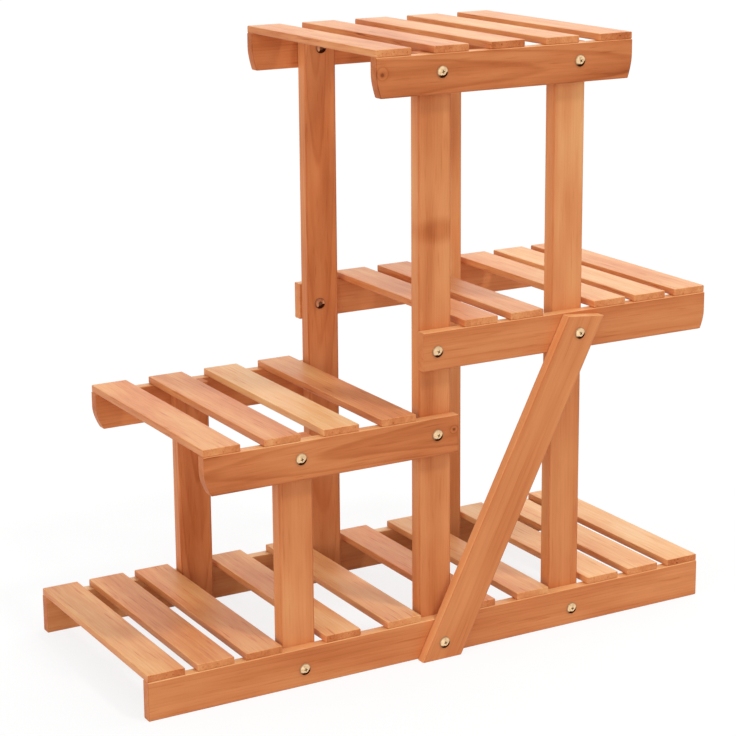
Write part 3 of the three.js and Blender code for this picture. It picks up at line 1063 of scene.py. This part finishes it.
# The copper brown the nuts are tinted with
NUT_BROWN = (0.66, 0.24, 0.11, 1)
SMUDGE_FINENESS = 420  # per metre
SCRATCH_FINENESS = 2600
SCRATCH_DEPTH = 0.00005
SCRATCH_RELIEF = 0.25  # the share of that depth that shows
BRASS_ROUGHNESS = 0.20
SMUDGE_ROUGHNESS = 0.25  # added where a smudge is full
PAINTED_SHADE_ROUGHNESS = 0.25  # added where the painted shade is full

brass = bpy.data.materials.new("pale_brass_plating")
brass.use_nodes = True
tree = brass.node_tree
tree.nodes.clear()
here = add_node(tree, "ShaderNodeTexCoord").outputs["Object"]
smudges = add_node(
    tree,
    "ShaderNodeTexNoise",
    {"Vector": here, "Scale": SMUDGE_FINENESS, "Detail": 3, "Roughness": 0.6},
)
smudged = add_node(tree, "ShaderNodeValToRGB", {"Fac": smudges.outputs["Fac"]})
for stop, (position, shade) in zip(smudged.color_ramp.elements, BRASS_COLOURS):
    stop.position = position
    stop.color = (*shade, 1)
painted_shade = attribute(tree, "painted_shade")
# The nuts tinted copper brown where the attribute is full
stained = add_node(
    tree,
    "ShaderNodeMixRGB",
    {
        "Fac": attribute(tree, "stained"),
        "Color1": smudged.outputs["Color"],
        "Color2": NUT_BROWN,
    },
)
# Painted shade: near black over the metal where the attribute is full
painted_shade_mix = add_node(
    tree,
    "ShaderNodeMixRGB",
    {"Fac": painted_shade, "Color1": stained.outputs["Color"], "Color2": PAINTED_SHADE_COLOUR},
)
scratches = add_node(
    tree,
    "ShaderNodeTexNoise",
    {"Vector": here, "Scale": SCRATCH_FINENESS, "Detail": 2, "Roughness": 0.5},
)
scratched = add_node(
    tree,
    "ShaderNodeBump",
    {"Strength": SCRATCH_RELIEF, "Distance": SCRATCH_DEPTH, "Height": scratches.outputs["Fac"]},
)
smudge_level = smudges.outputs["Fac"]
satin = compute(tree, "MULTIPLY_ADD", smudge_level, SMUDGE_ROUGHNESS, BRASS_ROUGHNESS)
satin = compute(tree, "MULTIPLY_ADD", painted_shade, PAINTED_SHADE_ROUGHNESS, satin)
# Where the painted shade is full, the surface mirrors nothing.
bare = compute(tree, "SUBTRACT", 1.0, painted_shade)
plating = add_node(
    tree,
    "ShaderNodeBsdfPrincipled",
    {
        "Base Color": painted_shade_mix.outputs["Color"],
        "Metallic": bare,
        "Specular IOR Level": 0.0,
        "Roughness": satin,
        "Normal": scratched.outputs[0],
    },
)
add_node(tree, "ShaderNodeOutputMaterial", {"Surface": plating.outputs[0]})
print("metal:", brass.name)

# %% [markdown]
# ### Driving the bolts in
#
# Each screw enters from outside, from the front or from the back. The two that also hold the
# brace are longer. Nobody lines up the crosses, so each screw is turned at random.

# %% Put a screw and a nut at every bolt
SMOOTH_ANGLE = math.radians(40)
# Painted shade on screw heads and nuts: round the rim, heaviest low and a little to the right as a
# painted shadow, and in the recess.
PAINTED_SHADE_ON_RIM = (0.55, 1.0)  # painted shade on the rim, at its top and at its bottom
PAINTED_SHADE_IN_RECESS = 0.70
PAINTED_SHADOW_SIDE = Vector((0.34, 0, -0.94))  # where the painted shadow is heaviest: below and a little to the right
PAINTED_SHADOW_BEGINS = 0.10  # how far a place on the rim faces that way, from 0 at the side to 1
PAINTED_SHADOW_IS_FULL = 0.60
RIM_START = (0.0052, 0.0036)  # where the painted shade on the rim begins, from the axis, at its top and at its bottom
PAINTED_SHADE_DEPTH = 0.00015  # how deep a place in the recess has to lie to get the painted shade
# how strongly the nuts are tinted copper brown
NUT_BROWN_SHARE = 0.75


def between(ends, share):
    """The value at a share of the way from the first to the second of two ends."""
    return ends[0] + (ends[1] - ends[0]) * share


def mark_tint_and_painted_shade(mesh, axis, seat, outward, height, crown, stain):
    """Marks the copper-brown tint and the painted shade on a head that stands on its seat and points
    outward.
    """
    stained = mesh.attributes.new("stained", "FLOAT", "FACE")
    stained.data.foreach_set("value", [stain] * len(mesh.polygons))
    painted_shade = mesh.attributes.new("painted_shade", "FLOAT", "FACE")
    for face in mesh.polygons:
        across = face.center - axis
        from_axis = math.hypot(across.x, across.z)
        above_seat = (face.center.y - seat) * outward
        if above_seat <= 0:
            continue
        towards = across.dot(PAINTED_SHADOW_SIDE) / max(from_axis, SAME_PLACE)
        lowness = min(1, max(0, (towards - PAINTED_SHADOW_BEGINS) / (PAINTED_SHADOW_IS_FULL - PAINTED_SHADOW_BEGINS)))
        surface = height - crown * (from_axis / CROWN_RADIUS) ** 2
        if from_axis > between(RIM_START, lowness):
            painted_shade.data[face.index].value = between(PAINTED_SHADE_ON_RIM, lowness)
        if from_axis < CROSS_LENGTH / 2 and above_seat < surface - PAINTED_SHADE_DEPTH:
            painted_shade.data[face.index].value = PAINTED_SHADE_IN_RECESS


def metal_piece(shape, name, node, place):
    """Makes a metal part a piece of the stand, in place of its CAD bolt. Returns its mesh."""
    mesh = bpy.data.meshes.new(name)
    shape.to_mesh(mesh)
    shape.free()
    mesh.transform(place)
    mesh.shade_smooth()
    mesh.set_sharp_from_angle(angle=SMOOTH_ANGLE)
    mesh.materials.append(brass)
    piece = bpy.data.objects.new(name, mesh)
    bpy.context.scene.collection.objects.link(piece)
    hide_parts(node)
    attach(piece, "root")
    return mesh


for node, middle in bolts.items():
    low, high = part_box(node)
    outward = -1 if middle.y < 0 else 1  # along Y
    outer_face = (low.y if outward < 0 else high.y) - outward * HEAD_HEIGHT
    inner_face = (high.y if outward < 0 else low.y) + outward * NUT_FLANGE_HEIGHT
    grip = (high.y - low.y) - HEAD_HEIGHT - POST_THICKNESS - NUT_FLANGE_HEIGHT
    upright = Matrix.Rotation(-outward * math.pi / 2, 4, "X")
    seat = Matrix.Translation((middle.x, outer_face, middle.z)) @ upright
    spun = seat @ Matrix.Rotation(random.uniform(0, math.pi / 2), 4, "Z")
    screw = metal_piece(make_screw(grip), node + "_screw", node, spun)
    mark_tint_and_painted_shade(screw, middle, outer_face, outward, HEAD_HEIGHT, CROWN_HEIGHT, 0)
    nut = metal_piece(make_nut(grip), node + "_nut", node, seat)
    mark_tint_and_painted_shade(nut, middle, inner_face, -outward, NUT_FLANGE_HEIGHT, 0, NUT_BROWN_SHARE)
print("screws and nuts:", 2 * len(bolts))

# %% [markdown]
# ## Last things
#
# The picture shows colours as they are, without a film look.

# %% Finish
bpy.context.scene.view_settings.view_transform = "Standard"
